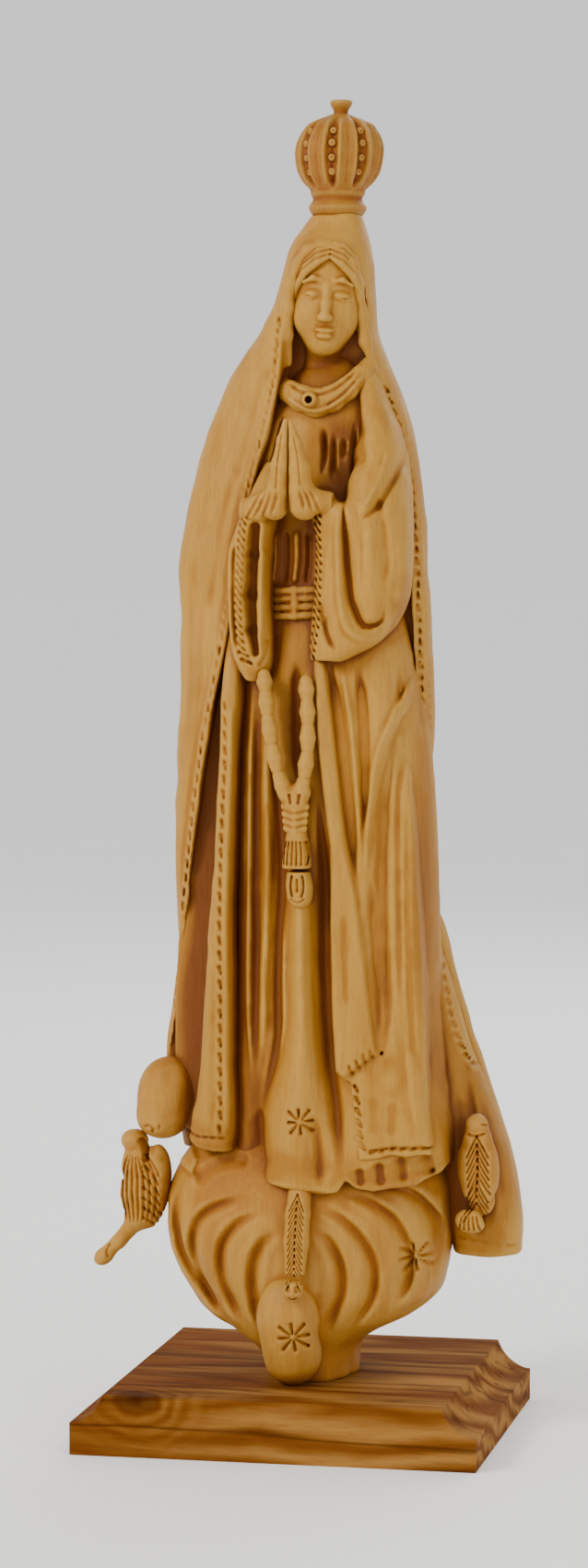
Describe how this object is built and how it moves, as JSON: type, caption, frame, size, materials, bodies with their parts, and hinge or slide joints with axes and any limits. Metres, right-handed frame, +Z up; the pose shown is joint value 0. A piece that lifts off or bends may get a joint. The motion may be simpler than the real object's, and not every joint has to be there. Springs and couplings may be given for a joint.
{
  "type": "madonna statue",
  "caption": "Carved wooden standing figure in prayer, robed and crowned, on a rolling cloud with doves above a rectangular base with cove-moulded ends.",
  "frame": {"origin": "centre of the base's flat underside", "axes": "+Z up the figure; +X along the base's length, to the right of someone facing the figure; the figure faces -Y"},
  "size_m": [0.1288, 0.105, 0.395],
  "materials": {
    "figure_wood": "hand carved olive wood, oiled, amber stain left in the recesses",
    "base_wood": "darker figured olive wood, satin",
    "crown_wood": "hand carved olive wood, oiled, amber stain left in the recesses",
    "peg_wood": "plain dowel",
    "screw_steel": "zinc plated"
  },
  "bodies": {
    "statue": {"base_plate": "base_wood", "base_screw_front": "screw_steel", "base_screw_back": "screw_steel", "cloud_pedestal": "figure_wood", "cloud_front_lobe": "figure_wood", "cloud_left_curl": "figure_wood", "dove_left": "figure_wood", "dove_front": "figure_wood", "dove_right": "figure_wood", "robe_skirt": "figure_wood", "overskirt_panel": "figure_wood", "bodice": "figure_wood", "waist_belt": "figure_wood", "belt_cord": "figure_wood", "belt_tassel": "figure_wood", "sleeve_left": "figure_wood", "sleeve_right": "figure_wood", "hand_left": "figure_wood", "hand_right": "figure_wood", "collar_band": "figure_wood", "head": "figure_wood", "hair": "figure_wood", "mantle": "figure_wood", "mantle_fold": "figure_wood", "crown_peg": "peg_wood"},
    "crown": {"crown": "crown_wood", "crown_finial": "crown_wood"}
  },
  "joints": [
    {"name": "crown_lift", "type": "slide", "parent": "statue", "child": "crown", "axis": [0, 0, 1], "range_m": [0, 0.018]}
  ]
}
